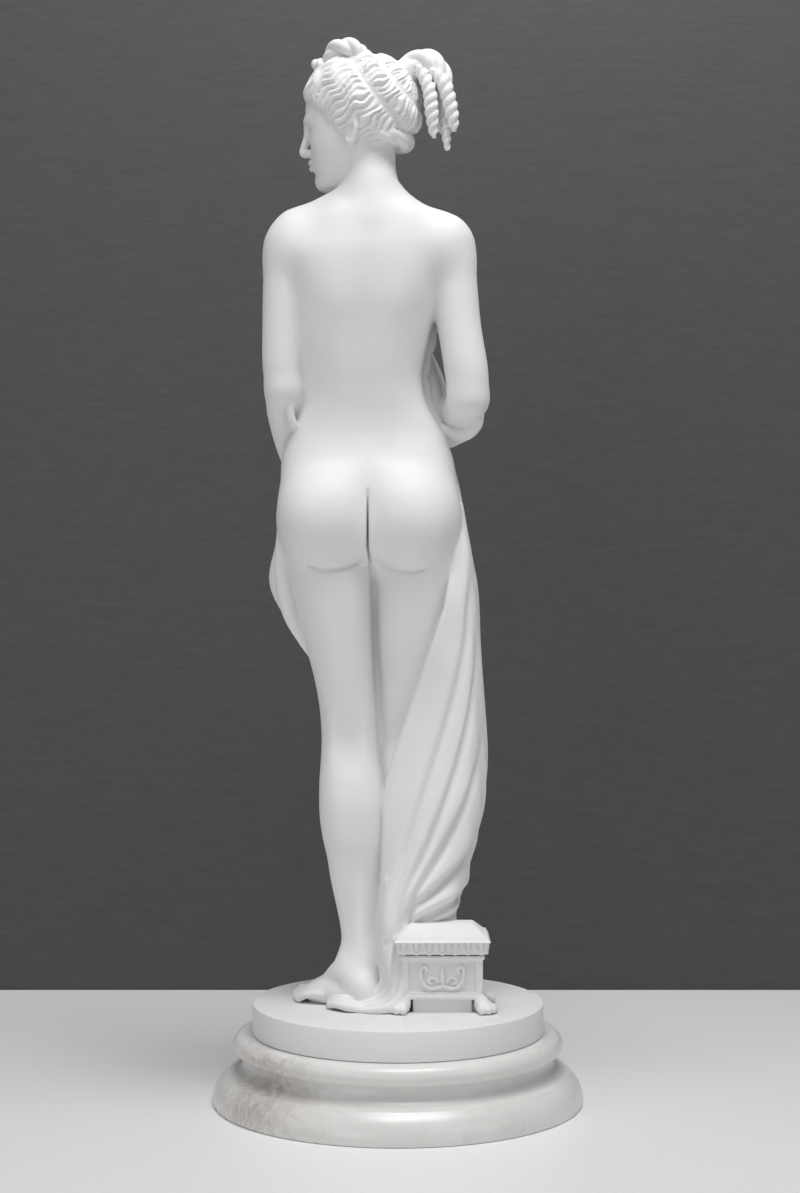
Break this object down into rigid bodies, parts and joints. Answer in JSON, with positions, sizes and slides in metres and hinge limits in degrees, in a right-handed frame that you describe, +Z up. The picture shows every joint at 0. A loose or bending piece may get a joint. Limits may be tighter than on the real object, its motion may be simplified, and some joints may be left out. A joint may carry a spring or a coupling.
{
  "type": "classical statuette",
  "caption": "Draped standing figure in cast white marble on a round base, with a small casket by the foot, on a turned alabaster plinth.",
  "frame": {"origin": "centre of the plinth's underside", "axes": "+Z up along the axis of the round plinth, the figure faces -Y and its left side is towards +X"},
  "size_m": [0.243, 0.243, 0.699],
  "materials": {
    "cast_marble": "satin",
    "alabaster": "polished, with a few warm grey veins"
  },
  "bodies": {
    "root": {"statuette_casting": "cast_marble", "alabaster_plinth": "alabaster"}
  },
  "joints": []
}
